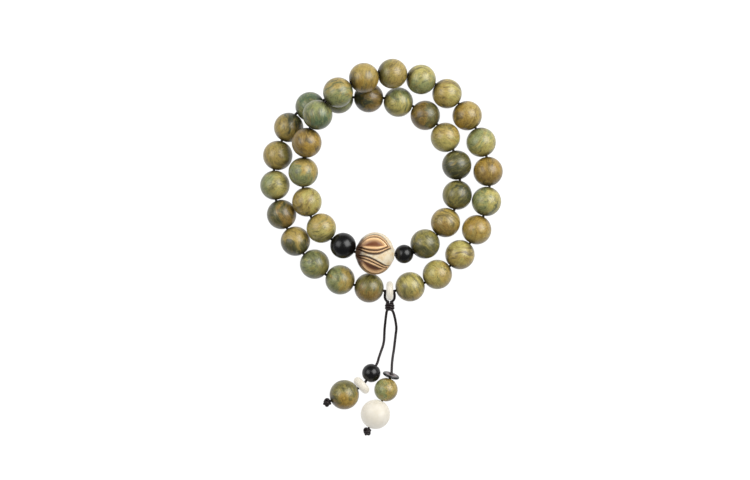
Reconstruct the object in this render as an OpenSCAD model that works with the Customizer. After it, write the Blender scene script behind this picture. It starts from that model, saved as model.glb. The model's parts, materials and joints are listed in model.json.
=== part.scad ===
// A string of prayer beads laid on a table in two turns. Thirty-six green wood beads and three
// accent beads are threaded on one cord. Its two ends cross in a white spacer, are tied in a
// knot below it, and go on as two drops, each with three small pieces and an end knot.
// Millimetres, +Z up. The table is z = 0, and the origin is under the middle of the beads.

/* [Wood beads] */
// Diameter of a green wood bead
bead_d = 10; // [9.6:0.1:10.4]
// Diameter of the hole through every bead, spacer and disc
bore_d = 1.8; // [1.6:0.1:2]
// Width and depth of the countersink at both ends of a bead's hole
countersink = 0.3; // [0.1:0.1:0.4]

/* [Accent beads] */
// Diameter of the small black bead
small_black_d = 6.3; // [6:0.1:6.6]
// Diameter of the large black bead
large_black_d = 8.7; // [8.4:0.1:9]
// Diameter of the carved bead, across its hole
carved_d = 14.7; // [14:0.1:14.7]
// Length of the carved bead, along its hole
carved_len = 13.3; // [13:0.1:13.6]

/* [Cord and knots] */
// Diameter of the cord
cord_d = 0.9; // [0.7:0.1:0.9]
// Spare cord that the strand has for each bead, so that it can bend
spare_per_bead = 0.36; // [0.36:0.02:0.5]
// Diameter of the main knot
knot_d = 3.1; // [2.8:0.1:3.4]
// Length of the main knot
knot_len = 3; // [2.6:0.1:3.4]
// Diameter of the end knot of each drop
end_knot_d = 2.9; // [2.4:0.1:3.2]
// Length of the end knot of each drop
end_knot_len = 2.5; // [2:0.1:3]

/* [White spacers] */
// Diameter of the spacer at the head of the strand
head_spacer_d = 6.5; // [6:0.1:6.5]
// Thickness of the spacer at the head of the strand
head_spacer_t = 2.3; // [2:0.1:2.3]
// Diameter of the hole in that spacer, which takes both ends of the cord
head_spacer_bore_d = 2.4; // [2.4:0.1:2.6]
// Diameter of the spacer on the left drop
drop_spacer_d = 6.7; // [6.3:0.1:7]
// Thickness of the spacer on the left drop
drop_spacer_t = 2.7; // [2.4:0.1:2.9]

/* [Drop pieces] */
// Diameter of the black bead on the left drop
drop_black_d = 6.3; // [6:0.1:6.4]
// Diameter of the thin black disc on the right drop
disc_d = 5.9; // [5.6:0.1:6.2]
// Thickness of that disc
disc_t = 0.8; // [0.6:0.1:1]
// Diameter of the small green bead on the right drop
drop_green_d = 8; // [7.8:0.1:8.1]
// Diameter of the white bead on the right drop
white_bead_d = 10; // [9.6:0.1:10.2]

/* [Hidden] */
true_fn = 48;          // round shapes
cord_sides = 8;        // the cord's tube
strand_z = bead_d / 2; // height of the cord where a wood bead lies on the table
cord_r = cord_d / 2;
bore_r = bore_d / 2;
turn_count = 18;       // wood beads in each turn
green = ["#7d7a3c", "#6b6b3a", "#8c7a3a", "#75803f", "#94813d", "#5c5f38"];
black = "#17171a";
white = "#ece7d8";
cord_colour = "#2b211c";

// The strand's course, chosen by hand in whole millimetres: [degrees clockwise from the bottom
// of the ring, distance from its middle, lift above the table]. It lies outside in the first
// half turn, dives under at the top left, runs inside past the carved bead, and crosses over
// itself to the outside. Points are 30 degrees apart, and closer where the course bends most.
COURSE = [
    [30, 37, 0], [60, 36, 0], [90, 37, 0], [120, 37, 0], [135, 36, 0], [150, 32, 0],
    [180, 28, 0], [210, 27, 0], [240, 26, 0], [270, 26, 0], [300, 26, 0], [330, 26, 1],
    [345, 26, 4], [360, 24, 5], [375, 25, 5], [390, 26, 4], [420, 27, 3], [450, 27, 4],
    [480, 29, 8], [495, 31, 10], [510, 33, 11], [525, 34, 10], [540, 36, 7], [570, 37, 2],
    [600, 36, 0], [630, 36, 0], [660, 36, 0], [690, 37, 0]];
HEAD = [2.3, -37, 0];  // middle of the head spacer, in the same layout

// A cord end's way from the main knot up round the head spacer into its hole, by hand:
// [sideways, along, share of the way down to the knot's height]
TAIL = [[0.5, -4, 1], [0.5, -3.8, 1], [1.05, -3.45, 0.9], [1.5, -2.8, 0.6],
    [1.65, -2, 0.3], [1.58, -1, 0.1], [1.3, -0.25, 0], [0.6, 0, 0]];
HEAD_ROOM = 0.85;      // between the head spacer and the bead on each side, for a cord end
KNOT_DROP = -0.8;      // the main knot hangs this much lower than the head spacer's middle
CROSSING = 0.5;        // the two cord ends lie this much below and above that middle
MOUTH_SHIFT = 0.3;     // and this much where they enter the first and last beads
SPACER_MOUTH = 0.6;    // from that middle to where they come out of the hole
// The round nose of a drop's cord: [how far in front of the pivot, share of the cord's radius]
NOSE = [[0.4, 0.6], [0.25, 0.9]];

// The drops' cords by hand, from the foot of the main knot: [x, y, height above the table].
// The first point is the pivot that the drop swings about.
LEFT_CORD = [[-1.1, -0.5, 3.9], [-1.3, -2, 3.2], [-1.5, -4, 1.9], [-1.7, -6, 0.9],
    [-1.8, -8, 0.52], [-1.9, -10, 0.47], [-2.3, -12, 0.47], [-3, -14, 0.7],
    [-3.7, -16, 1.6]];
RIGHT_CORD = [[1.3, -0.5, 3.9], [1.7, -2, 3.2], [2.1, -4, 1.9], [2.3, -6, 0.9],
    [2.1, -8, 0.52], [1.8, -10.5, 0.47], [1.5, -13, 0.47], [1.1, -15.5, 0.8],
    [0.8, -18, 1.8], [0.7, -20, 2.7]];
LEFT_START = [-4.6, -18.4];
RIGHT_START = [0.6, -21.5];
KNOT_CLEAR = 0.25;     // between a drop's last bead and its end knot
DISC_LIFT = 0.2;       // the disc hangs on the cord, this much clear of the table

// ---- vectors ----
function unit(v) = v / norm(v);
function heading_dir(heading, pitch) =
    [cos(heading) * cos(pitch), sin(heading) * cos(pitch), sin(pitch)];
function sum(v) = [for (i = 0, s = 0; i < len(v); s = s + v[i], i = i + 1) s + v[i]];
function last(v) = v[len(v) - 1];
function flat(p) = [p.x, p.y, 0];

// ---- the strand ----
// Half of each bead's length along the cord, and its radius across it, in threading order
wood_halves = [for (i = [1:turn_count]) bead_d / 2];
halves = concat(wood_halves, [small_black_d / 2, carved_len / 2, large_black_d / 2], wood_halves);
radii = concat(wood_halves, [small_black_d / 2, carved_d / 2, large_black_d / 2], wood_halves);
bead_count = len(halves);
head_half = head_spacer_t / 2 + HEAD_ROOM;

function course_points(scale) = concat(
    [scale * HEAD - [head_half, 0, 0]],
    [for (c = COURSE) scale * [c[1] * cos(-90 - c[0]), c[1] * sin(-90 - c[0]), c[2]]],
    [scale * HEAD + [head_half, 0, 0]]);
function curve(a, b, c, d, t) = 0.5 * (2 * b + (c - a) * t
    + (2 * a - 5 * b + 4 * c - d) * t * t + (3 * b - a - 3 * c + d) * t * t * t);
function smooth(p, steps) =
    let (n = len(p), q = concat([2 * p[0] - p[1]], p, [2 * p[n - 1] - p[n - 2]]))
    concat([for (i = [0:n - 2], k = [0:steps - 1])
        curve(q[i], q[i + 1], q[i + 2], q[i + 3], k / steps)], [p[n - 1]]);
function steps_of(p) = [for (i = [0:len(p) - 1]) i == 0 ? 0 : norm(p[i] - p[i - 1])];
function on_table(p) = [for (q = p) [q.x, q.y, strand_z + max(0, q.z)]];
function strand_path(scale) = on_table(smooth(course_points(scale), 10));

// The layout grows or shrinks with the beads, so that they always fill the strand
needed = 2 * last(sum(halves)) + bead_count * spare_per_bead;
layout_scale = needed / last(sum(steps_of(strand_path(1))));
path = strand_path(layout_scale);
run = sum(steps_of(path));
path_len = last(run);

// The points between beads, for a given spare length at both ends of each bead
function slack(spare) = (path_len - 2 * last(sum(halves)) - last(sum([for (s = spare) s[0] + s[1]])))
    / bead_count;
function at_run(s) = [for (k = [0:2]) lookup(s, [for (i = [0:len(path) - 1]) [run[i], path[i][k]]])];
function gap_points(spare) =
    let (g = slack(spare), ends = sum([for (i = [0:bead_count - 1])
        2 * halves[i] + spare[i][0] + spare[i][1] + g]))
    concat([at_run(0)], [for (e = ends) at_run(e)]);
function directions(g) = [for (i = [0:len(g) - 2]) unit(g[i + 1] - g[i])];
// Two round beads meet beside the bend of the cord, so each needs this much more of its length
function bend_share(d, i) = i < 0 || i > bead_count - 2 ? 0 : 1 / sqrt((1 + d[i] * d[i + 1]) / 2) - 1;
no_spare = [for (i = [1:bead_count]) [0, 0]];
first_dirs = directions(gap_points(no_spare));
spare = [for (i = [0:bead_count - 1])
    halves[i] * [bend_share(first_dirs, i - 1), bend_share(first_dirs, i)]];
gaps = gap_points(spare);
dirs = directions(gaps);
bead_slack = slack(spare);
centres = [for (i = [0:bead_count - 1])
    gaps[i] + (halves[i] + spare[i][0] + bead_slack / 2) * dirs[i]];

// ---- the head of the strand ----
head = layout_scale * HEAD + [0, 0, strand_z];
foot = head + [0, TAIL[0].y - knot_len, KNOT_DROP];
function tail(side, rise) = [for (t = TAIL)
    head + [side * t[0], t[1], t[2] * KNOT_DROP + (1 - t[2]) * rise]];
function backwards(v) = [for (i = [len(v) - 1:-1:0]) v[i]];
main_route = concat(
    tail(-1, -CROSSING),
    [head + [SPACER_MOUTH, 0, -CROSSING], gaps[bead_count] - [0, 0, MOUTH_SHIFT]],
    [for (i = [bead_count - 1:-1:1]) gaps[i]],
    [gaps[0] + [0, 0, MOUTH_SHIFT], head + [-SPACER_MOUTH, 0, CROSSING]],
    backwards(tail(1, CROSSING)));

// ---- the drops ----
// A piece on a drop is [height of its middle, half length, heading, pitch, free cord before it]
function leaning(d, t, pitch) = d / 2 * cos(pitch) + t / 2 * sin(abs(pitch));
LEFT_PIECES = [
    [drop_black_d / 2, drop_black_d / 2, -122, 5, 0],
    [leaning(drop_spacer_d, drop_spacer_t, 8), drop_spacer_t / 2, -138, 8, 0.9],
    [bead_d / 2, bead_d / 2, -156, 9, 0.35]];
RIGHT_PIECES = [
    [leaning(disc_d, disc_t, 11) + DISC_LIFT, disc_t / 2, -109, -11, 0],
    [drop_green_d / 2, drop_green_d / 2, -110, 6, 0.7],
    [white_bead_d / 2, white_bead_d / 2, -116, 7, 0.1]];
// Each threaded piece is [middle, direction, half length]
function thread(start, pieces, i = 0) = i == len(pieces) ? [] :
    let (p = pieces[i], d = heading_dir(p[2], p[3]),
        m = flat(start) + flat(d) * p[1] + p[4] * unit(flat(d)) + [0, 0, p[0]])
    concat([[m, d, p[1]]], thread(m + flat(d) * p[1], pieces, i + 1));
function way_in(t) = t[0] - t[2] * t[1];
function way_out(t) = t[0] + t[2] * t[1];
function drop_pieces(start, pieces) = thread(flat(foot) + [start[0], start[1], 0], pieces);
function drop_route(cord, threaded) = concat(
    [for (c = cord) flat(foot) + c], [way_in(threaded[0])],
    [for (i = [0:1]) (way_out(threaded[i]) + way_in(threaded[i + 1])) / 2],
    [way_out(threaded[2]) + KNOT_CLEAR * threaded[2][1]]);
left = drop_pieces(LEFT_START, LEFT_PIECES);
right = drop_pieces(RIGHT_START, RIGHT_PIECES);
left_route = drop_route(LEFT_CORD, left);
right_route = drop_route(RIGHT_CORD, right);

// ---- the origin, under the middle of the box round all the beads ----
middles = concat(centres, [for (t = concat(left, right)) t[0]]);
reaches = concat(radii, [drop_black_d, drop_spacer_d, bead_d, disc_d, drop_green_d, white_bead_d] / 2);
function reach(axis, side) = side * max([for (i = [0:len(middles) - 1])
    side * middles[i][axis] + reaches[i]]);
origin = [(reach(0, 1) + reach(0, -1)) / 2, (reach(1, 1) + reach(1, -1)) / 2, 0];

function bead_name(i) = str("wood_bead_", i < 10 ? "0" : "", i);
// Place of a wood bead in the threading order: the accent beads sit between the two turns
function place_of(i) = i <= turn_count ? i - 1 : i + 2;

// ---- shapes ----
module aimed(middle, direction) {
    translate(middle - origin)
        rotate([0, acos(direction.z), atan2(direction.y, direction.x)])
            children();
}
// The hole along Z through a piece of this length, countersunk at both ends
module hole(length) {
    cylinder(h = 2 * length, d = bore_d, center = true, $fn = true_fn);
    for (side = [0, 180])
        rotate([side, 0, 0])
            translate([0, 0, length / 2 - countersink])
                cylinder(h = 2 * countersink, r1 = bore_r, r2 = bore_r + 2 * countersink, $fn = true_fn);
}
module round_bead(d) {
    difference() {
        sphere(d = d, $fn = true_fn);
        hole(d);
    }
}
// A bead that is wider than it is long: an ellipse turned about Z
module oval_bead(d, length) {
    step = 7.5;
    difference() {
        rotate_extrude($fn = true_fn)
            polygon([for (a = [-90:step:90]) [max(0, d / 2 * cos(a)), length / 2 * sin(a)]]);
        hole(length);
    }
}
// A flat ring with a round rim
module rondelle(d, t, hole_d) {
    rotate_extrude($fn = true_fn) {
        translate([hole_d / 2, -t / 2])
            square([d / 2 - t / 2 - hole_d / 2, t]);
        translate([d / 2 - t / 2, 0])
            circle(d = t, $fn = true_fn);
    }
}
// A knot seen as its wraps: a core with round turns of cord round it, from z = 0 up
module wrapped_knot(d, length, wraps) {
    wrap = length / wraps;
    rotate_extrude($fn = true_fn) {
        square([d / 2 - wrap / 2, length]);
        for (i = [0:wraps - 1])
            translate([d / 2 - wrap / 2, (i + 0.5) * wrap])
                circle(d = wrap, $fn = true_fn);
    }
}
function tangent(route, i) = unit(route[min(i + 1, len(route) - 1)] - route[max(i - 1, 0)]);
function ring(middle, along, r) =
    let (side = unit(cross(along, [0, 0, 1])), up = cross(side, along))
    [for (k = [0:cord_sides - 1])
        middle + r * (cos(360 * k / cord_sides) * side + sin(360 * k / cord_sides) * up)];
// The cord's tube: one ring of points at each point of the route
module tube(route, ring_r) {
    n = len(route);
    m = cord_sides;
    points = [for (i = [0:n - 1]) each ring(route[i] - origin, tangent(route, i), ring_r[i])];
    walls = [for (i = [0:n - 2], k = [0:m - 1])
        let (a = i * m + k, b = i * m + (k + 1) % m)
        each [[a, b, b + m], [a, b + m, a + m]]];
    first_end = [for (k = [m - 1:-1:0]) k];
    last_end = [for (k = [0:m - 1]) (n - 1) * m + k];
    polyhedron(points, concat([first_end], walls, [last_end]));
}
// A drop's cord has a round nose in front of its pivot, so that it can swing at the knot
module drop_tube(route) {
    nose = [for (n = NOSE) route[0] + [0, n[0], 0]];
    tube(concat(nose, route), concat([for (n = NOSE) n[1] * cord_r], [for (p = route) cord_r]));
}

// ---- sub-parts ----
module main_cord() {
    color(cord_colour)
        tube(main_route, [for (p = main_route) cord_r]);
}
module head_spacer() {
    color(white)
        aimed(head, [1, 0, 0])
            rondelle(head_spacer_d, head_spacer_t, head_spacer_bore_d);
}
module main_knot() {
    color(cord_colour)
        aimed(foot, [0, 1, 0])
            wrapped_knot(knot_d, knot_len, 3);
}
module wood_bead(i) {
    color(green[i % len(green)])
        aimed(centres[place_of(i)], dirs[place_of(i)])
            round_bead(bead_d);
}
module small_black_bead() {
    color(black)
        aimed(centres[turn_count], dirs[turn_count])
            round_bead(small_black_d);
}
module carved_bead() {
    color("#c79a6b")
        aimed(centres[turn_count + 1], dirs[turn_count + 1])
            oval_bead(carved_d, carved_len);
}
module large_black_bead() {
    color(black)
        aimed(centres[turn_count + 2], dirs[turn_count + 2])
            round_bead(large_black_d);
}
module end_knot(route, threaded) {
    color(cord_colour)
        aimed(last(route), last(threaded)[1])
            wrapped_knot(end_knot_d, end_knot_len, 2);
}
module left_drop_cord() {
    color(cord_colour)
        drop_tube(left_route);
}
module left_drop_black_bead() {
    color(black)
        aimed(left[0][0], left[0][1])
            round_bead(drop_black_d);
}
module left_drop_spacer() {
    color(white)
        aimed(left[1][0], left[1][1])
            rondelle(drop_spacer_d, drop_spacer_t, bore_d);
}
module left_drop_green_bead() {
    color(green[0])
        aimed(left[2][0], left[2][1])
            round_bead(bead_d);
}
module right_drop_cord() {
    color(cord_colour)
        drop_tube(right_route);
}
module right_drop_disc() {
    color(black)
        aimed(right[0][0], right[0][1])
            rondelle(disc_d, disc_t, bore_d);
}
module right_drop_green_bead() {
    color(green[4])
        aimed(right[1][0], right[1][1])
            round_bead(drop_green_d);
}
module right_drop_white_bead() {
    color(white)
        aimed(right[2][0], right[2][1])
            round_bead(white_bead_d);
}

main_cord();
head_spacer();
main_knot();
for (i = [1:2 * turn_count])
    wood_bead(i);
small_black_bead();
carved_bead();
large_black_bead();
left_drop_cord();
left_drop_black_bead();
left_drop_spacer();
left_drop_green_bead();
end_knot(left_route, left);  // left_end_knot
right_drop_cord();
right_drop_disc();
right_drop_green_bead();
right_drop_white_bead();
end_knot(right_route, right);  // right_end_knot
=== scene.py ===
# %% [markdown]
# A wrist mala: 36 waxed green sandalwood beads, a carved focal bead between two black beads, a
# white spacer at the head, a knot, and two cord drops with their own small pieces. The strand
# lies on a table in two turns. The model that comes with it fixes where every piece is, and
# this script makes the surfaces and finishes. Lengths are in metres, and mm() turns
# millimetres into metres.

# %% Start from the fixed frame
import bpy
import json
import numpy as np
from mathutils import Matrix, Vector


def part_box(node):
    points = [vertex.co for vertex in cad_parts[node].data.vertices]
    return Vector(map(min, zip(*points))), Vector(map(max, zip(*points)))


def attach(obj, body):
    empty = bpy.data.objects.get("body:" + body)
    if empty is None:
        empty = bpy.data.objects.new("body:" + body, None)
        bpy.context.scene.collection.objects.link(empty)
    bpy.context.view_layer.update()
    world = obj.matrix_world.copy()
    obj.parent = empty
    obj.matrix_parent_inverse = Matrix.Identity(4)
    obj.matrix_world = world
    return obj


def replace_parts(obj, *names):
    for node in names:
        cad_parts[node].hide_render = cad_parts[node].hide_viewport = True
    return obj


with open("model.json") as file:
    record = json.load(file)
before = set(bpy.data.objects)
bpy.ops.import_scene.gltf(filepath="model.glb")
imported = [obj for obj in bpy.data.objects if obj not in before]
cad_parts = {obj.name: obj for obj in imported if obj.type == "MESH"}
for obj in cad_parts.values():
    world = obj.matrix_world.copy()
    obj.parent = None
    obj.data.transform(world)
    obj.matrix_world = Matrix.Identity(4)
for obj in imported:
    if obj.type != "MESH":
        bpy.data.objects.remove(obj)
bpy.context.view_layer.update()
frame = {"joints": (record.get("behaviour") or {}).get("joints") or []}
joints = {joint["child"]: joint for joint in frame["joints"]}


# %% Small tools for lengths and vectors
def mm(*values):
    """Millimetres as metres: one number, or a vector."""
    scaled = np.array(values, float) / 1000
    return float(scaled[0]) if len(values) == 1 else scaled


def unit(v):
    """v divided by its length, along the last axis."""
    return v / np.linalg.norm(v, axis=-1, keepdims=True)


def middle(node):
    """The middle of a CAD node's box."""
    low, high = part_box(node)
    return (np.array(low) + np.array(high)) / 2


# %% [markdown]
# The camera comes first, because the free cords are judged by what it sees. The strand lies
# flat, so it is looked at from straight above, from about six tenths of a metre.

# %% Camera
VIEW_WIDTH = mm(254.5)     # how much of the table the picture is wide, at the beads' middle
LENS, SENSOR = 85.0, 36.0  # both in millimetres, as on the camera
BEAD_R = mm(5)
camera_data = bpy.data.cameras.new("camera")
camera_data.lens = LENS
camera_data.sensor_width = SENSOR
camera = bpy.data.objects.new("camera", camera_data)
camera.location = (mm(-2.2), mm(1.65), BEAD_R + VIEW_WIDTH * LENS / SENSOR)
bpy.context.scene.collection.objects.link(camera)
bpy.context.scene.camera = camera
print("camera height", round(camera.location.z, 3))


# %% [markdown]
# Every new piece is a grid of points. A tube, a bead and a ring all have the same faces: each
# point joins the next one round and the next one along. So one helper makes the faces, and
# each shape only works out where its points are.

# %% From a grid of points to a mesh
def grid_faces(rows, columns, closed_rows):
    """Quads of a grid whose columns wrap round, and whose rows wrap too if closed_rows."""
    row = np.arange(rows if closed_rows else rows - 1)[:, None]
    column = np.arange(columns)[None, :]
    below, beside = (row + 1) % rows, (column + 1) % columns
    corners = [row * columns + column, row * columns + beside,
               below * columns + beside, below * columns + column]
    return np.stack(np.broadcast_arrays(*corners), axis=-1).reshape(-1, 4)


def make_mesh(name, points, faces):
    """A smooth-shaded object from points (n, 3) and a list of faces."""
    mesh = bpy.data.meshes.new(name)
    mesh.from_pydata(points.tolist(), [], [list(map(int, face)) for face in faces])
    mesh.validate()
    mesh.shade_smooth()
    piece = bpy.data.objects.new(name, mesh)
    bpy.context.scene.collection.objects.link(piece)
    return piece


# %% [markdown]
# The cord is a fine braided nylon cord, waxed, 0.9 mm thick. Eight strands cross over and
# under each other, so its outline is two sets of slanting ridges. The cord is a profile
# carried along a route: the route's points are joined by a smooth curve, and a ring of points
# is set square to it at each step, without letting the rings twist.

# %% Cord: a smooth route and a braided tube
CORD_D = mm(0.9)
BRAID_RISE = 0.02          # ridges, as a share of the cord's radius
BRAID_PITCH = mm(2.4)      # length in which a strand goes once round


def smooth_route(points, step):
    """Catmull-Rom curve through the points, resampled every step: on each stretch from b to c,
    (2b + (c-a)t + (2a-5b+4c-d)t^2 + (3b-a-3c+d)t^3) / 2."""
    p = np.array(points, float)
    q = np.vstack([2 * p[0] - p[1], p, 2 * p[-1] - p[-2]])
    t = np.linspace(0, 1, 25)[:-1][None, :, None]
    a, b, c, d = (q[k:len(q) - 3 + k][:, None, :] for k in range(4))
    curve = (2 * b + (c - a) * t + (2 * a - 5 * b + 4 * c - d) * t ** 2
             + (3 * b - a - 3 * c + d) * t ** 3) / 2
    curve = np.vstack([curve.reshape(-1, 3), p[-1:]])
    run = np.concatenate([[0], np.cumsum(np.linalg.norm(np.diff(curve, axis=0), axis=1))])
    even = np.linspace(0, run[-1], max(2, int(round(run[-1] / step)) + 1))
    return np.stack([np.interp(even, run, curve[:, k]) for k in range(3)], axis=1)


def route_length(route):
    """Length of a route, the sum of its steps."""
    return float(np.linalg.norm(np.diff(route, axis=0), axis=1).sum())


def square_frames(route):
    """Two directions square to the route at each point, carried along so that they don't
    twist: each is the last one with its share along the new direction taken off."""
    along = unit(np.gradient(route, axis=0))
    start = np.cross(along[0], [0, 0, 1.0])
    side = [unit(start if np.linalg.norm(start) > 0.1 else np.cross(along[0], [0, 1.0, 0]))]
    for direction in along[1:]:
        side.append(unit(side[-1] - direction * (side[-1] @ direction)))
    side = np.array(side)
    return side, np.cross(along, side)


def cord_grid(route, sides, diameter=CORD_D, rise=BRAID_RISE):
    """Points of a braided tube: radius times 1 - rise + rise * max(cos(4(a-k)), cos(4(a+k))),
    where a is the angle round and k turns once in a pitch. Round noses close both ends."""
    side, up = square_frames(route)
    along = np.cross(side, up)
    step = np.linalg.norm(route[1] - route[0])
    nose = np.sin(np.linspace(0.05, 0.95, 4) * np.pi / 2)  # share of the radius at each nose ring
    back = np.sqrt(1 - nose ** 2) * diameter / 2
    centres = np.vstack([route[0] - back[:, None] * along[0], route,
                         (route[-1] + back[:, None] * along[-1])[::-1]])
    shares = np.concatenate([nose, np.ones(len(route)), nose[::-1]])
    pad = [(4, 4), (0, 0)]
    side, up = np.pad(side, pad, mode="edge"), np.pad(up, pad, mode="edge")
    angle = np.linspace(0, 2 * np.pi, sides, endpoint=False)[None, :]
    turn = (np.arange(len(centres)) * step / BRAID_PITCH * 2 * np.pi)[:, None]
    ridge = np.maximum(np.cos(4 * (angle - turn)), np.cos(4 * (angle + turn)))
    radius = diameter / 2 * shares[:, None] * (1 - rise + rise * ridge)
    return (centres[:, None, :] + radius[..., None] * (np.cos(angle)[..., None] * side[:, None, :]
            + np.sin(angle)[..., None] * up[:, None, :]))


def make_cords(name, grids):
    """One mesh from several tubes, each closed by a face at both ends."""
    points, faces, start = [], [], 0
    for grid in grids:
        rows, sides = grid.shape[:2]
        points.append(grid.reshape(-1, 3))
        faces += (grid_faces(rows, sides, False) + start).tolist()
        faces += [[start + sides - 1 - k for k in range(sides)],
                  list(range(start + (rows - 1) * sides, start + rows * sides))]
        start += rows * sides
    return make_mesh(name, np.vstack(points), faces)


# %% [markdown]
# Where the pieces lie: every bead turns on the cord, so its joint says where its middle is and
# which way its hole points. The order is the order of threading, from the head of the strand
# round both turns and back. The cord's route follows the holes.

# %% The pieces in threading order, and their sizes
def wood(first, last):
    """Names of the wood beads from first to last."""
    return [f"wood_bead_{number:02d}" for number in range(first, last + 1)]


STRAND = wood(1, 18) + ["small_black_bead", "carved_bead", "large_black_bead"] + wood(19, 36)
LEFT_DROP = ["left_drop_black_bead", "left_drop_spacer", "left_drop_green_bead"]
RIGHT_DROP = ["right_drop_disc", "right_drop_green_bead", "right_drop_white_bead"]
CARVED_R, CARVED_HALF = 7.35, 6.65     # in millimetres, across and along its hole
SPACER_R, SPACER_HALF = mm(3.35), mm(1.35)
DISC_R, DISC_HALF = mm(2.95), mm(0.4)
HEAD_R, HEAD_HALF, HEAD_HOLE_R = mm(3.25), mm(1.15), mm(1.2)
LENGTHS = {"small_black_bead": mm(6.3), "carved_bead": mm(13.3), "large_black_bead": mm(8.7),
           "left_drop_black_bead": mm(6.3), "left_drop_spacer": mm(2.7),
           "right_drop_disc": mm(0.8), "right_drop_green_bead": mm(8)}
centres = {name: np.array(joints[name]["pos_m"]) for name in STRAND + LEFT_DROP + RIGHT_DROP}
axes = {name: unit(np.array(joints[name]["axis"])) for name in centres}
lengths = {name: LENGTHS.get(name, mm(10)) for name in centres}


def mouths(name):
    """Where the cord enters a piece and where it leaves it."""
    reach = axes[name] * lengths[name] / 2
    return centres[name] - reach, centres[name] + reach


def between(first, second):
    """Halfway from the way out of one piece to the way into the next."""
    return (mouths(first)[1] + mouths(second)[0]) / 2


# %% The routes of the three cords
head = middle("head_spacer")
foot = head + mm(0, -7, -0.8)           # the main knot's lower end
TAIL = [(0.5, -4, 1), (0.5, -3.8, 1), (1.05, -3.45, 0.9), (1.5, -2.8, 0.6), (1.65, -2, 0.3),
        (1.58, -1, 0.1), (1.3, -0.25, 0), (0.6, 0, 0)]
KNOT_DROP, CROSSING, MOUTH_SHIFT = mm(-0.8), mm(0.5), mm(0.3)
LEFT_CORD = [(-1.1, -0.5, 3.9), (-1.3, -2, 3.2), (-1.5, -4, 1.9), (-1.7, -6, 0.9),
             (-1.8, -8, 0.52), (-1.9, -10, 0.47), (-2.3, -12, 0.47), (-3, -14, 0.7),
             (-3.7, -16, 1.6)]
RIGHT_CORD = [(1.3, -0.5, 3.9), (1.7, -2, 3.2), (2.1, -4, 1.9), (2.3, -6, 0.9), (2.1, -8, 0.52),
              (1.8, -10.5, 0.47), (1.5, -13, 0.47), (1.1, -15.5, 0.8), (0.8, -18, 1.8),
              (0.7, -20, 2.7)]
KNOT_CLEAR = mm(0.25)


def tail(side, rise):
    """A cord end's way from the main knot round the head spacer into its hole."""
    return [head + mm(side * x, y, 0) + np.array([0, 0, share * KNOT_DROP + (1 - share) * rise])
            for x, y, share in TAIL]


def drop_route(cord, pieces):
    """From the main knot along the table, through three pieces, to the end knot."""
    points = [np.array([foot[0], foot[1], 0]) + mm(*point) for point in cord]
    points += [mouths(pieces[0])[0], between(pieces[0], pieces[1]), between(pieces[1], pieces[2])]
    return points + [mouths(pieces[2])[1] + axes[pieces[2]] * KNOT_CLEAR]


main_points = tail(-1, -CROSSING) + [head + mm(0.6, 0, 0) - [0, 0, CROSSING]]
main_points += [mouths(STRAND[-1])[1] - [0, 0, MOUTH_SHIFT]]
main_points += [between(a, b) for a, b in zip(STRAND[-2::-1], STRAND[:0:-1])]
main_points += [mouths(STRAND[0])[0] + [0, 0, MOUTH_SHIFT]]
main_points += [head + mm(-0.6, 0, 0) + [0, 0, CROSSING]]
main_points += tail(1, CROSSING)[::-1]
left_points = drop_route(LEFT_CORD, LEFT_DROP)
right_points = drop_route(RIGHT_CORD, RIGHT_DROP)

# %% Draw the cords
FINE_STEP = mm(0.1)
main_route = smooth_route(main_points, mm(0.2))
left_route = smooth_route(left_points, FINE_STEP)
right_route = smooth_route(right_points, FINE_STEP)
main_cord = make_cords("main_cord_braid", [cord_grid(main_route, 16)])
left_cord = make_cords("left_drop_cord_braid", [cord_grid(left_route, 24)])
right_cord = make_cords("right_drop_cord_braid", [cord_grid(right_route, 24)])
for piece, body, node in ((main_cord, "strand", "main_cord"),
                          (left_cord, "left_drop", "left_drop_cord"),
                          (right_cord, "right_drop", "right_drop_cord")):
    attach(piece, body)
    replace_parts(piece, node)
for name, route in (("main", main_route), ("left", left_route), ("right", right_route)):
    print(name, "cord is", round(1000 * route_length(route), 1), "mm")

# %% [markdown]
# The main knot is the two cord ends twisted tight round each other, one and a half times, so
# each comes out on the other's side. The end knots are tight overhand knots. An overhand knot
# is a trefoil, which has a short formula, so the knot is a trefoil tube with the cord's own end
# coming out of it.

# %% Knots
KNOT_LENGTH, KNOT_WIDTH, KNOT_DEPTH = mm(3), mm(1.25), mm(0.7)
KNOT_TURNS = 1.5
KNOT_START = (0.5, -3.8, -0.8)          # where a tail reaches the main knot, in millimetres
TIE_SIZE, TIE_LENGTH = mm(0.36), mm(0.72)
TIE_BEHIND, TIE_INSIDE, TIE_STUB = mm(1.15), mm(0.3), mm(1.1)


def knot_route(side, pivot):
    """Half the main knot: x = side * width * cos(a), z = -side * depth * sin(a), and y falls
    evenly, from the end of the cord's tail to the drop's pivot. The two halves are opposite each
    other all the way. Both swell in the middle, as 0.65 + 0.35 * sin(pi * share)."""
    share = np.linspace(0.08, 0.92, 19)
    angle = 2 * np.pi * KNOT_TURNS * (share - 0.08) / 0.84
    swell = 0.65 + 0.35 * np.sin(np.pi * share)
    winding = np.stack([side * KNOT_WIDTH * swell * np.cos(angle), KNOT_LENGTH * (1 - share),
                        -side * KNOT_DEPTH * swell * np.sin(angle)], axis=1) + foot
    start = head + mm(side * KNOT_START[0], KNOT_START[1], KNOT_START[2])
    return smooth_route(np.vstack([start, winding, pivot]), FINE_STEP)


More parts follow.
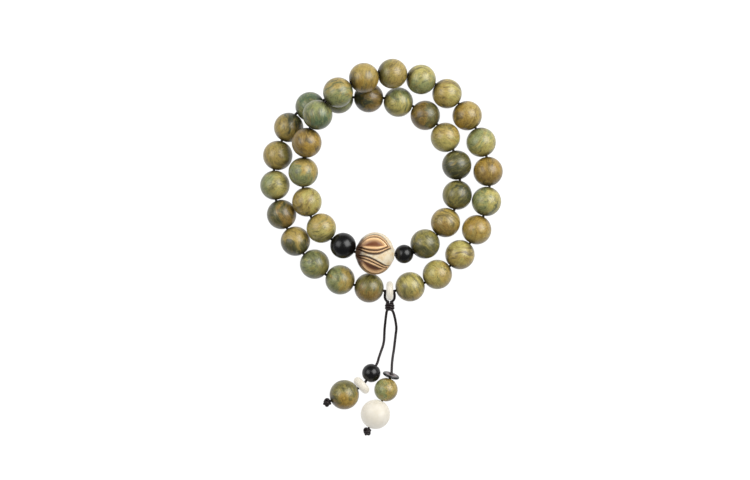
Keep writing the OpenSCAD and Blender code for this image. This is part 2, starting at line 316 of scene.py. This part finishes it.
def trefoil(centre, axis, size, length, start_turn):
    """A closed knot round the axis: radius size * (2 + cos 3t) at angle 2t, height
    length * sin 3t."""
    t = np.linspace(0, 2 * np.pi, 150)
    flat = unit(np.cross(axis, [0, 0, 1.0]))
    directions = np.stack([flat, np.cross(axis, flat), axis])
    radius = size * (2 + np.cos(3 * t))
    local = np.stack([radius * np.cos(2 * t + start_turn), radius * np.sin(2 * t + start_turn),
                      length * np.sin(3 * t)], axis=1)
    return local @ directions + centre


def end_knot(name, route, axis, body, node):
    """The tight knot behind a drop's last bead, and the cord's cut end."""
    centre = route[-1] + axis * TIE_BEHIND
    loop = trefoil(centre, axis, TIE_SIZE, TIE_LENGTH, 0.4)
    stub = smooth_route([route[-1] - axis * TIE_INSIDE, centre, centre + axis * TIE_STUB],
                        FINE_STEP)
    piece = make_cords(name, [cord_grid(loop, 20), cord_grid(stub, 20)])
    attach(piece, body)
    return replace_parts(piece, node)


main_knot = make_cords("main_knot_wraps", [cord_grid(knot_route(1, left_route[0]), 24),
                                           cord_grid(knot_route(-1, right_route[0]), 24)])
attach(main_knot, "strand")
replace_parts(main_knot, "main_knot")
left_knot = end_knot("left_end_knot_tie", left_route, axes[LEFT_DROP[2]], "left_drop",
                     "left_end_knot")
right_knot = end_knot("right_end_knot_tie", right_route, axes[RIGHT_DROP[2]], "right_drop",
                      "right_end_knot")
cord_pieces = [main_cord, left_cord, right_cord, main_knot, left_knot, right_knot]

# %% [markdown]
# A turned bead is a profile carried round the line of its hole. The profile runs over the
# outside, rounds the lip of the hole, and goes back through the bore, so it closes on itself
# and the mesh has no pole and no seam.

# %% Beads: a closed profile carried round the hole
BORE_R = mm(0.9)
LIP_R = mm(0.12)           # rounding where the outside meets the hole
AROUND = 72


def bead_profile(radius, half_length, steps=44):
    """(distance from the hole's line, height) of an oval bead: an ellipse from lip to lip, a
    quarter round at each lip, and the bore."""
    lip = np.arcsin((BORE_R + LIP_R) / radius)
    arc = np.linspace(lip, np.pi - lip, steps)
    outside = np.stack([radius * np.sin(arc), half_length * np.cos(arc)], axis=1)
    turn = np.linspace(0, np.pi / 2, 5)[1:]
    top = outside[0, 1] - LIP_R
    lower_lip = np.stack([BORE_R + LIP_R - LIP_R * np.sin(turn),
                          -top - LIP_R * np.cos(turn)], axis=1)
    bore = np.stack([np.full(8, BORE_R), np.linspace(-top, top, 10)[1:-1]], axis=1)
    upper_lip = lower_lip[::-1] * [1, -1]
    return np.vstack([outside, lower_lip, bore, upper_lip])


def ring_profile(radius, half_length, hole_r, steps=24):
    """(distance, height) of a flat ring with a round rim and softened faces."""
    rim = np.linspace(np.pi / 2, -np.pi / 2, steps)
    outer = np.stack([radius - half_length + half_length * np.cos(rim),
                      half_length * np.sin(rim)], axis=1)
    face = np.linspace(radius - half_length, hole_r + LIP_R, 8)[1:]
    turn = np.linspace(0, np.pi / 2, 4)[1:]
    lower = np.vstack([np.stack([face, np.full(7, -half_length)], axis=1),
                       np.stack([hole_r + LIP_R - LIP_R * np.sin(turn),
                                 -half_length + LIP_R - LIP_R * np.cos(turn)], axis=1)])
    return np.vstack([outer, lower, lower[::-1] * [1, -1]])


def piece_frame(axis):
    """Three directions as rows: level across the hole, upwards across the hole, along it."""
    level = unit(np.cross(axis, [0, 0, 1.0]))
    return np.stack([level, np.cross(level, axis), axis])


def revolve(profile, around=AROUND):
    """Points (n, around, 3) of a profile turned round the third axis."""
    angle = np.linspace(0, 2 * np.pi, around, endpoint=False)[None, :]
    distance, height = profile[:, :1], profile[:, 1:]
    return np.stack([distance * np.cos(angle), distance * np.sin(angle),
                     np.broadcast_to(height, (len(profile), around))], axis=-1)


def set_attribute(piece, name, kind, values):
    """Stores one value for each point of a piece: kind is FLOAT, FLOAT_VECTOR or FLOAT_COLOR."""
    attribute = piece.data.attributes.new(name, kind, "POINT")
    key = {"FLOAT": "value", "FLOAT_VECTOR": "vector", "FLOAT_COLOR": "color"}[kind]
    attribute.data.foreach_set(key, np.ascontiguousarray(values, np.float32).ravel())


def turned_piece(name, node, body, grid, centre, axis):
    """A revolved grid set on its line, riding on its body in place of its plain solid."""
    local = grid.reshape(-1, 3)
    piece = make_mesh(name, local @ piece_frame(axis) + centre,
                      grid_faces(grid.shape[0], grid.shape[1], True))
    set_attribute(piece, "turned", "FLOAT_VECTOR", local * 1000)
    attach(piece, body)
    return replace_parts(piece, node)


# %% [markdown]
# No two wood beads are alike: each was turned from its own scrap of a board. So every bead has
# its own place and direction in an endless block of timber, and a base tone and a second tone
# that comes in from one side. Both are read by one material.

# %% Tones of green sandalwood
def tone(red, green, blue):
    """A display colour from 0 to 255 as a linear colour."""
    c = np.array([red, green, blue]) / 255
    return np.append(np.where(c < 0.04045, c / 12.92, ((c + 0.055) / 1.055) ** 2.4), 1.0)


TONES = {
    "pale": tone(178, 166, 92), "gold": tone(170, 146, 74), "amber": tone(160, 128, 48),
    "brown": tone(136, 108, 46), "olive": tone(126, 118, 58), "moss": tone(134, 140, 88),
    "dark": tone(88, 86, 46), "deep": tone(58, 62, 34), "teal": tone(84, 106, 72),
}
SIDES = {"N": (0, 1), "E": (1, 0), "S": (0, -1), "W": (-1, 0), "NE": (0.7, 0.7), "SE": (0.7, -0.7),
         "SW": (-0.7, -0.7), "NW": (-0.7, 0.7)}
# Base tone, second tone, and the side from which the second tone comes in
LOOKS = """olive brown S; moss gold E; moss olive E; dark gold N; dark brown E; pale moss W;
gold olive E; gold deep NE; moss teal N; moss dark W; brown deep W; moss pale S;
brown dark E; pale gold N; dark deep S; olive deep E; gold brown S; dark olive N;
pale gold N; gold pale E; moss gold NE; brown amber E; moss teal S; moss gold N;
gold amber S; gold olive W; pale moss S; gold pale E; amber gold E; pale moss NW;
amber brown S; moss pale E; gold amber N; gold pale N; pale gold E; pale gold S;
olive amber S; gold moss W"""
looks = [look.split() for look in LOOKS.replace("\n", " ").split(";")]
wood_names = wood(1, 36) + ["left_drop_green_bead", "right_drop_green_bead"]
print(len(looks), "looks for", len(wood_names), "wood beads")

# %% Wood beads
timber_dice = np.random.default_rng(36)


def wood_bead(name, look):
    """One turned bead, with its place in the timber and its two tones."""
    half = lengths[name] / 2
    grid = revolve(bead_profile(half, half))
    piece = turned_piece(name + "_turned", name, name, grid, centres[name], axes[name])
    local = grid.reshape(-1, 3) * 1000
    turn = np.linalg.qr(timber_dice.normal(size=(3, 3)))[0]
    set_attribute(piece, "timber", "FLOAT_VECTOR", local @ turn + timber_dice.uniform(-400, 400, 3))
    outward = local @ piece_frame(axes[name]) / (half * 1000)
    side = np.append(SIDES[look[2]], 0.25)
    set_attribute(piece, "second_share", "FLOAT", outward @ side * 0.5 + 0.5)
    everywhere = np.ones((len(local), 1))
    set_attribute(piece, "base_tone", "FLOAT_COLOR", everywhere * TONES[look[0]])
    set_attribute(piece, "second_tone", "FLOAT_COLOR", everywhere * TONES[look[1]])
    return piece


wood_pieces = [wood_bead(name, look) for name, look in zip(wood_names, looks)]
print("wood beads", len(wood_pieces))

# %% Black and white pieces
def polished_piece(name, profile):
    """A piece of stone that turns on the cord, with its joint's body of the same name."""
    return turned_piece(name + "_polished", name, name, revolve(profile), centres[name], axes[name])


black_pieces = [polished_piece(name, bead_profile(lengths[name] / 2, lengths[name] / 2))
                for name in ("small_black_bead", "large_black_bead", "left_drop_black_bead")]
black_pieces.append(polished_piece("right_drop_disc", ring_profile(DISC_R, DISC_HALF, BORE_R)))
white_bead = polished_piece("right_drop_white_bead", bead_profile(BEAD_R, BEAD_R))
drop_spacer = polished_piece("left_drop_spacer", ring_profile(SPACER_R, SPACER_HALF, BORE_R))
head_spacer = turned_piece("head_spacer_polished", "head_spacer", "strand",
                           revolve(ring_profile(HEAD_R, HEAD_HALF, HEAD_HOLE_R)), head,
                           np.array([1.0, 0, 0]))
white_pieces = [white_bead, drop_spacer, head_spacer]

# %% [markdown]
# The carved bead is a polished ivory coloured root with four leaf-shaped petals cut into it. The
# petals run from the end beside the large black bead, and their tips point the other way. Each
# is a nest of ridges round a deep heart, and each ridge ends at its own blunt point, inside the
# next one's. Such leaf lines have a short formula: at a place a along the leaf, from -1 to 1, the
# half width of a line is c - |a| ** 2.5. Solved for c, that says how far out in its leaf any point
# lies, so the cuts are grooves at a few values of c.

# %% Carved bead
PETAL_ROOT, PETAL_TIP = 1.08, -0.82      # along the bead, as shares of its half length
# Each petal's heart in degrees round the bead (90 is up), its width before and after the heart,
# and how far it leans over a half length
PETALS = [(61, 36, 31, 0), (134, 27, 42, 18), (220, 34, 34, 8), (310, 40, 38, 0)]
# Each groove's place in the leaf, half its width there, and its depth in millimetres
GROOVES = [(0.97, 0.1, 0.75), (0.65, 0.09, 0.75)]
HEART_SIZE, HEART_DEPTH = 0.36, 0.85     # a share of the leaf, and millimetres
TIP_POWER = 2.5


def leaf_share(angle, along, heart, before, after, lean):
    """How far out in its leaf a point lies, 0 at the heart and 1 on the outline:
    c = b + |a| ** 2.5, with a along the leaf and b across it, both 1 on the outline."""
    across = (angle - heart + lean * along + 180) % 360 - 180
    b = np.abs(across) / np.where(across < 0, before, after)
    a = 2 * (along - (PETAL_ROOT + PETAL_TIP) / 2) / (PETAL_ROOT - PETAL_TIP)
    return b + np.abs(a) ** TIP_POWER


def carved_grid(profile, around):
    """The oval with its petals cut in: each groove is a rounded notch, exp(-((c - g)/w)^2) deep,
    and the surface between two petals lies a little lower than they do."""
    grid = revolve(profile, around) * 1000
    angle = np.degrees(np.arctan2(grid[..., 1], grid[..., 0]))
    along = grid[..., 2] / CARVED_HALF
    share = np.min([leaf_share(angle, along, *petal) for petal in PETALS], axis=0)
    depth = 0.2 / (1 + np.exp(-np.clip((share - 1.1) / 0.05, -40, 40)))
    stain = np.zeros_like(share)
    for place, width, cut in GROOVES:
        notch = np.exp(-((share - place) / width) ** 2)
        depth += cut * notch
        stain = np.maximum(stain, notch ** 0.6)   # the stain spreads up the sides of a groove
    heart = np.exp(-(share / HEART_SIZE) ** 4)
    depth += HEART_DEPTH * heart
    wall = np.hypot(grid[..., 0], grid[..., 1])
    outside = np.clip((wall - 1.6) / 1.2, 0, 1)   # no cuts near the hole or in it
    normal = unit(np.stack([grid[..., 0] / CARVED_R ** 2, grid[..., 1] / CARVED_R ** 2,
                            grid[..., 2] / CARVED_HALF ** 2], axis=-1))
    points = (grid - normal * (depth * outside)[..., None]) / 1000
    return points, share, stain * outside, heart * outside


carved_points, petal_share, groove_stain, heart_stain = carved_grid(
    bead_profile(mm(CARVED_R), mm(CARVED_HALF), 150), 240)
carved = turned_piece("carved_bead_petals", "carved_bead", "carved_bead", carved_points,
                      centres["carved_bead"], axes["carved_bead"])
set_attribute(carved, "petal_share", "FLOAT", petal_share)
set_attribute(carved, "groove_stain", "FLOAT", groove_stain)
set_attribute(carved, "heart_stain", "FLOAT", heart_stain)
print("carved bead has", len(carved.data.polygons), "faces")


# %% [markdown]
# Materials are small node trees. add_node keeps them short: it makes a node, sets its options,
# and fills its inputs, either with a value or with a link from another node's output.

# %% Node helpers
def add_node(tree, kind, inputs=None, **settings):
    """A new node. inputs maps a socket's name or number to a value or an output socket."""
    node = tree.nodes.new(kind)
    for key, value in settings.items():
        setattr(node, key, value)
    for key, value in (inputs or {}).items():
        if isinstance(value, bpy.types.NodeSocket):
            tree.links.new(value, node.inputs[key])
        else:
            node.inputs[key].default_value = value
    return node


def math(tree, operation, a, b=0.0):
    """The output of a Math node."""
    return add_node(tree, "ShaderNodeMath", {0: a, 1: b}, operation=operation).outputs[0]


def mix_colour(tree, share, a, b):
    """The colour output of a Mix node."""
    return add_node(tree, "ShaderNodeMix", {0: share, 6: a, 7: b}, data_type="RGBA").outputs[2]


def noise(tree, vector, scale, detail=2.0, roughness=0.5, distortion=0.0):
    """A Noise Texture node on a vector."""
    return add_node(tree, "ShaderNodeTexNoise", {"Vector": vector, "Scale": scale, "Detail": detail,
                    "Roughness": roughness, "Distortion": distortion})


def stretch(tree, vector, x, y, z):
    """A vector scaled along each axis."""
    node = add_node(tree, "ShaderNodeVectorMath", {0: vector, 1: (x, y, z)}, operation="MULTIPLY")
    return node.outputs[0]


def ramp(tree, value, low, high):
    """0 at low and beyond, 1 at high and beyond, and smooth between, whichever is greater."""
    return add_node(tree, "ShaderNodeMapRange", {"Value": value, "From Min": low, "From Max": high},
                    interpolation_type="SMOOTHSTEP").outputs[0]


def attribute(tree, name, output):
    """An output of a piece's own attribute: Color, Vector or Fac."""
    return add_node(tree, "ShaderNodeAttribute", attribute_name=name).outputs[output]


def new_material(name, **constants):
    """A material and its Principled BSDF, with constants set on the shader's own sockets."""
    material = bpy.data.materials.new(name)
    material.use_nodes = True
    shader = material.node_tree.nodes["Principled BSDF"]
    for key, value in constants.items():
        shader.inputs[key.replace("_", " ")].default_value = value
    return material, material.node_tree, shader


def finish_pieces(pieces, material):
    """Gives pieces their material."""
    for piece in pieces:
        piece.data.materials.clear()
        piece.data.materials.append(material)


# %% Green sandalwood
def wood_grain():
    """A node group: a place in the timber in; broad layers, gold streaks, fine feathers and
    pores out. The place is bent by a slow noise first, so that the grain wanders."""
    group = bpy.data.node_groups.new("wood_grain", "ShaderNodeTree")
    group.interface.new_socket("Place", in_out="INPUT", socket_type="NodeSocketVector")
    for name in ("Layers", "Streaks", "Feathers", "Pores"):
        group.interface.new_socket(name, in_out="OUTPUT", socket_type="NodeSocketFloat")
    place = group.nodes.new("NodeGroupInput").outputs["Place"]
    out = group.nodes.new("NodeGroupOutput")
    bend = noise(group, place, 0.2, 2.0).outputs["Color"]
    bent = add_node(group, "ShaderNodeVectorMath", {0: bend, 1: (4.0, 4.0, 4.0), 2: place},
                    operation="MULTIPLY_ADD").outputs[0]
    links = {"Layers": noise(group, stretch(group, bent, 0.12, 0.35, 0.9), 0.7, 4.0, 0.6),
             "Streaks": noise(group, stretch(group, bent, 0.12, 0.7, 1.5), 1.1, 5.0, 0.7),
             "Feathers": noise(group, stretch(group, bent, 0.4, 0.6, 1.9), 1.15, 5.0, 0.72, 1.6),
             "Pores": noise(group, stretch(group, place, 0.9, 9.0, 9.0), 1.0, 2.0, 0.5)}
    for name, node in links.items():
        group.links.new(node.outputs[0], out.inputs[name])
    return group


def sandalwood():
    """Two tones that meet along the grain, gold and dark streaks, and fine pores."""
    material, tree, shader = new_material("waxed_green_sandalwood", Coat_Weight=0.6,
                                          Coat_Roughness=0.3, Specular_IOR_Level=0.5)
    grain = add_node(tree, "ShaderNodeGroup", {}, node_tree=wood_grain())
    tree.links.new(attribute(tree, "timber", "Vector"), grain.inputs["Place"])
    layers, streaks = grain.outputs["Layers"], grain.outputs["Streaks"]
    share = math(tree, "ADD", attribute(tree, "second_share", "Fac"),
                 math(tree, "MULTIPLY", math(tree, "SUBTRACT", layers, 0.5), 2.2))
    wood = mix_colour(tree, ramp(tree, share, 0.45, 0.9), attribute(tree, "base_tone", "Color"),
                      attribute(tree, "second_tone", "Color"))
    # Each mark: the pattern, where it starts and where it is full, its strength and its colour
    marks = [(streaks, 0.53, 0.66, 0.45, tone(186, 158, 76)),
             (layers, 0.5, 0.34, 0.6, tone(40, 40, 18)),
             (grain.outputs["Feathers"], 0.53, 0.4, 0.5, tone(36, 38, 14)),
             (grain.outputs["Feathers"], 0.55, 0.68, 0.4, tone(190, 182, 112)),
             (streaks, 0.44, 0.3, 0.55, tone(40, 33, 14)),
             (grain.outputs["Pores"], 0.4, 0.3, 0.3, tone(40, 34, 16))]
    for value, low, high, strength, colour in marks:
        share = math(tree, "MULTIPLY", ramp(tree, value, low, high), strength)
        wood = mix_colour(tree, share, wood, tuple(colour))
    # Painted shade: the wood is darkened round both ends of the hole, where neighbouring beads
    # touch
    place = attribute(tree, "turned", "Vector")
    along = add_node(tree, "ShaderNodeSeparateXYZ", {0: place}).outputs["Z"]
    ends = ramp(tree, math(tree, "ABSOLUTE", along), 3.3, 4.9)
    wood = mix_colour(tree, math(tree, "MULTIPLY", ends, 0.75), wood, tuple(tone(34, 30, 12)))
    tree.links.new(wood, shader.inputs["Base Color"])
    tree.links.new(math(tree, "ADD", math(tree, "MULTIPLY", streaks, 0.16), 0.34),
                   shader.inputs["Roughness"])
    height = math(tree, "ADD", streaks, grain.outputs["Pores"])
    bump = add_node(tree, "ShaderNodeBump",
                    {"Height": height, "Strength": 0.08, "Distance": mm(0.05)})
    tree.links.new(bump.outputs[0], shader.inputs["Normal"])
    return material


finish_pieces(wood_pieces, sandalwood())


# %% Black stone, white stone and carved root
def polished_stone(name, colour, cloud, roughness, **constants):
    """A polished stone whose colour drifts a little towards a second one."""
    material, tree, shader = new_material(name, **constants)
    place = attribute(tree, "turned", "Vector")
    drift = noise(tree, place, 0.35, 3.0).outputs[0]
    tree.links.new(mix_colour(tree, ramp(tree, drift, 0.35, 0.65), tuple(colour), tuple(cloud)),
                   shader.inputs["Base Color"])
    fine = noise(tree, place, 6.0, 2.0).outputs[0]
    tree.links.new(math(tree, "ADD", math(tree, "MULTIPLY", fine, 0.08), roughness),
                   shader.inputs["Roughness"])
    return material


black_stone = polished_stone("polished_black_stone", tone(2, 2, 3), tone(6, 6, 7), 0.24,
                             Specular_IOR_Level=0.5)
# The white stone glows a little: painted light that stands in for light passing through it and
# evens out its shading
glowing_white_stone = polished_stone("polished_white_stone", tone(162, 155, 140), tone(152, 143, 122), 0.38,
                             Subsurface_Weight=0.6, Subsurface_Scale=mm(3),
                             Subsurface_Radius=(1.0, 0.95, 0.85), Emission_Color=(1, 0.97, 0.9, 1),
                             Emission_Strength=0.45)
finish_pieces(black_pieces[:3], black_stone)


def pale_faced_disc():
    """Black stone with a black rim and a rougher face whose pale colour is a painted reflection:
    the mix goes by distance from the line of the hole."""
    material, tree, shader = new_material("black_disc_with_painted_pale_face")
    place = attribute(tree, "turned", "Vector")
    distance = add_node(tree, "ShaderNodeVectorMath", {0: stretch(tree, place, 1, 1, 0)},
                        operation="LENGTH").outputs["Value"]
    face_with_painted_reflection = ramp(tree, distance, 2.15, 1.75)
    cloud = noise(tree, place, 1.5, 3.0).outputs[0]
    # Painted reflection: the pale colours of the face
    pale = mix_colour(tree, cloud, tuple(tone(104, 92, 92)), tuple(tone(160, 148, 148)))
    tree.links.new(mix_colour(tree, face_with_painted_reflection, tuple(tone(6, 6, 7)), pale),
                   shader.inputs["Base Color"])
    tree.links.new(math(tree, "ADD", math(tree, "MULTIPLY", face_with_painted_reflection, 0.3), 0.2),
                   shader.inputs["Roughness"])
    return material


finish_pieces(black_pieces[3:], pale_faced_disc())
finish_pieces(white_pieces, glowing_white_stone)


def carved_root():
    """Ivory that warms to amber on the petals' slopes, dark stain in the grooves, a red-brown
    heart, and more stain towards the end that the petals grow from."""
    material, tree, shader = new_material("carved_root", Coat_Weight=0.1, Coat_Roughness=0.3,
                                          Specular_IOR_Level=0.4)
    place = attribute(tree, "turned", "Vector")
    cloud = noise(tree, place, 0.5, 4.0, 0.6).outputs[0]
    root_end = add_node(tree, "ShaderNodeSeparateXYZ", {0: place}).outputs["Z"]
    share = attribute(tree, "petal_share", "Fac")
    colour = mix_colour(tree, ramp(tree, cloud, 0.4, 0.68), tuple(tone(230, 218, 192)),
                        tuple(tone(218, 192, 150)))
    colour = mix_colour(tree, math(tree, "MULTIPLY", ramp(tree, share, 1.02, 0.85), 0.85), colour,
                        tuple(tone(252, 204, 146)))
    worn = math(tree, "ADD", root_end, math(tree, "MULTIPLY", cloud, 3.0))
    colour = mix_colour(tree, math(tree, "MULTIPLY", ramp(tree, worn, 4.2, 6.8), 0.92), colour,
                        tuple(tone(64, 30, 12)))
    stain = math(tree, "MULTIPLY", attribute(tree, "groove_stain", "Fac"),
                 ramp(tree, cloud, -0.2, 0.3))
    colour = mix_colour(tree, stain, colour, tuple(tone(50, 15, 1)))
    heart = math(tree, "MULTIPLY", attribute(tree, "heart_stain", "Fac"), 0.95)
    colour = mix_colour(tree, heart, colour, tuple(tone(92, 38, 8)))
    tree.links.new(colour, shader.inputs["Base Color"])
    tree.links.new(math(tree, "ADD", math(tree, "MULTIPLY", stain, 0.3), 0.3),
                   shader.inputs["Roughness"])
    bump = add_node(tree, "ShaderNodeBump",
                    {"Height": cloud, "Strength": 0.15, "Distance": mm(0.1)})
    tree.links.new(bump.outputs[0], shader.inputs["Normal"])
    return material


finish_pieces([carved], carved_root())


# %% Cord
def waxed_cord():
    """Very dark brown braided nylon with fine lighter fibres."""
    material, tree, shader = new_material("waxed_cord", Roughness=0.42, Specular_IOR_Level=0.4)
    place = add_node(tree, "ShaderNodeTexCoord").outputs["Object"]
    fibre = noise(tree, place, 4000.0, 2.0).outputs[0]
    tree.links.new(mix_colour(tree, fibre, tuple(tone(8, 4, 4)), tuple(tone(34, 20, 21))),
                   shader.inputs["Base Color"])
    return material


finish_pieces(cord_pieces, waxed_cord())

# %% [markdown]
# The light is a white table under two soft boxes: a bright one at the upper right and a dimmer
# one at the left. They give each bead its two soft highlights. A third, wide and dim one lights
# the beads from the far side and isn't seen in their reflections. A dim white sky fills the rest.

# %% Table and light
def soft_box(name, direction, distance, size, power):
    """A square light that looks at the middle of the ring."""
    light = bpy.data.lights.new(name, "AREA")
    light.shape = "SQUARE"
    light.size = size
    light.energy = power
    lamp = bpy.data.objects.new(name, light)
    aim = unit(np.array(direction, float))
    lamp.location = aim * distance + mm(0, 5, 5)
    lamp.rotation_mode = "QUATERNION"
    lamp.rotation_quaternion = Vector(-aim).to_track_quat("-Z", "Y")
    bpy.context.scene.collection.objects.link(lamp)
    return lamp


soft_box("key_softbox", (0.612, 0.334, 0.718), 0.9, 0.76, 9.4)
soft_box("fill_softbox", (-0.68, 0.239, 0.693), 0.9, 0.66, 3.6)
soft_box("far_softbox", (0.05, 0.86, 0.5), 1.0, 0.9, 3.8).visible_glossy = False

world = bpy.data.worlds.new("studio")
world.use_nodes = True
world.node_tree.nodes["Background"].inputs["Color"].default_value = (1, 1, 1, 1)
world.node_tree.nodes["Background"].inputs["Strength"].default_value = 0.2
bpy.context.scene.world = world
bpy.context.scene.view_settings.view_transform = "Standard"

FLOOR = 3.0                # half the table's width, in metres
floor_mesh = bpy.data.meshes.new("table_top")
floor_mesh.from_pydata([(-FLOOR, -FLOOR, 0), (FLOOR, -FLOOR, 0), (FLOOR, FLOOR, 0),
                        (-FLOOR, FLOOR, 0)], [], [(0, 1, 2, 3)])
floor = bpy.data.objects.new("table_top", floor_mesh)
bpy.context.scene.collection.objects.link(floor)
floor_material, floor_tree, floor_shader = new_material("white_table", Roughness=0.9)
floor_shader.inputs["Base Color"].default_value = (0.08, 0.08, 0.08, 1)
floor_shader.inputs["Emission Color"].default_value = (1, 1, 1, 1)
# The table is plain white to the eye, and a little less bright where a bead reflects it
seen = add_node(floor_tree, "ShaderNodeLightPath").outputs
dimmed = math(floor_tree, "MULTIPLY", seen["Is Glossy Ray"], 0.8)
floor_tree.links.new(math(floor_tree, "ADD", seen["Is Camera Ray"], dimmed),
                     floor_shader.inputs["Emission Strength"])
floor_mesh.materials.append(floor_material)
